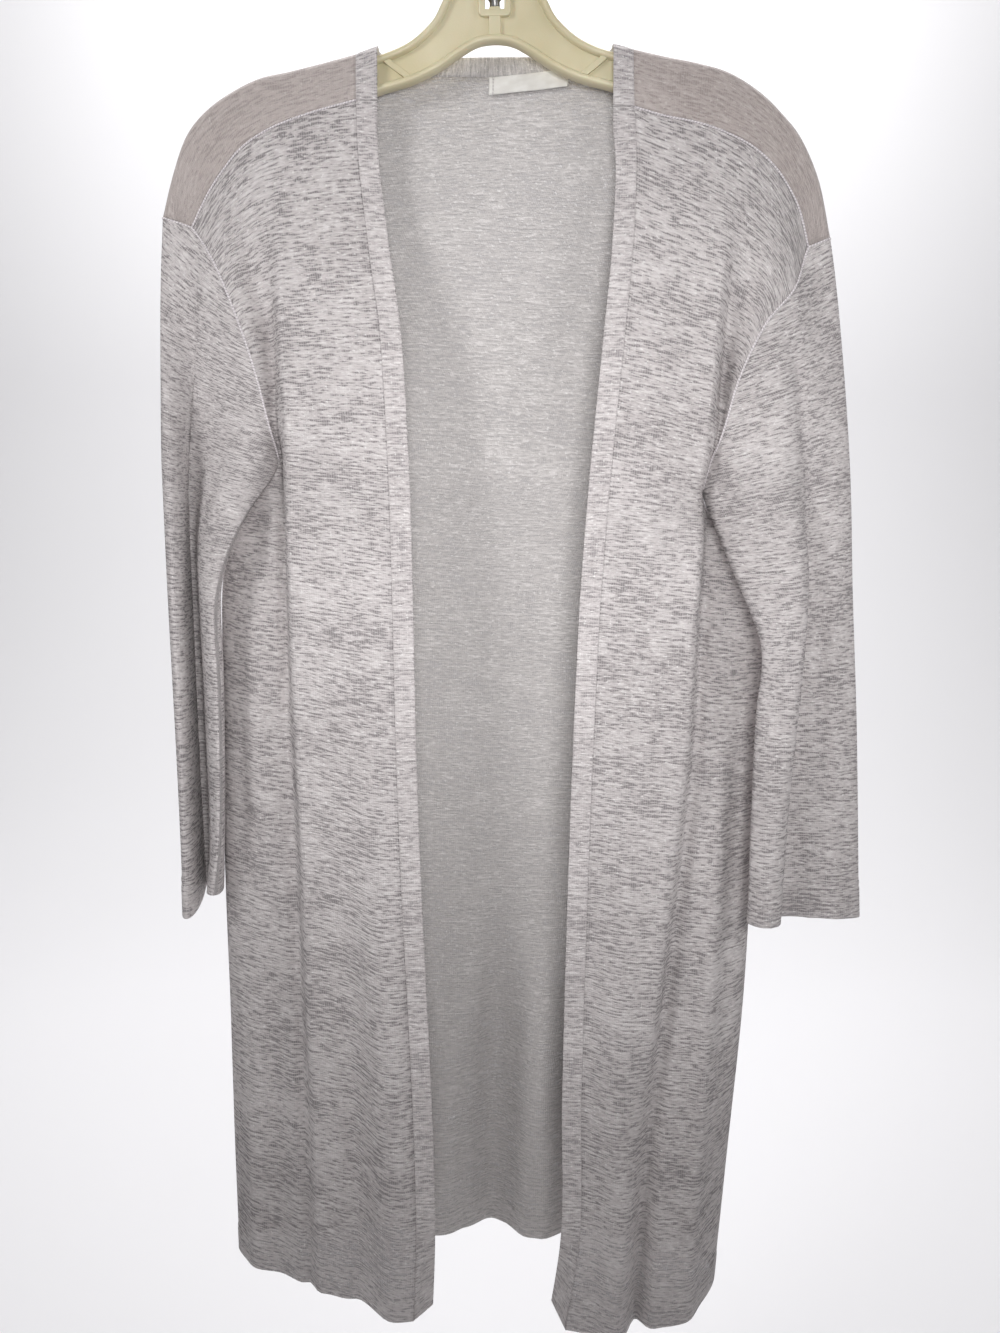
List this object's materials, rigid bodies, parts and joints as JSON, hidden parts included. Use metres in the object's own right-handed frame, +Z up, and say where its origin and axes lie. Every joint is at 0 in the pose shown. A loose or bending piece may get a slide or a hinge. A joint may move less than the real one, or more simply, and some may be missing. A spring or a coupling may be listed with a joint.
{
  "type": "sheer open-front cardigan on a clothes hanger",
  "caption": "Long sheer slub-knit cardigan, open in front with narrow bands and long sleeves, hanging on a moulded plastic hanger with a wire hook.",
  "frame": {"origin": "inside top of the hook's bend, where the hook rests on a rail", "axes": "+Z up, -Y out of the garment's open front, +X to the right as seen from the front"},
  "size_m": [0.5401, 0.0873, 1.0917],
  "materials": {
    "knit": "sheer slub knit, matt",
    "band_knit": "doubled knit, matt",
    "label": "woven satin, blank",
    "plastic": "moulded, satin gloss",
    "steel": "bare drawn wire"
  },
  "bodies": {
    "root": {"back": "knit", "front_left": "knit", "front_right": "knit", "sleeve_left": "knit", "sleeve_right": "knit", "band_left": "band_knit", "band_right": "band_knit", "band_neck": "band_knit", "label": "label", "hanger": "plastic", "hook": "steel"}
  },
  "joints": []
}
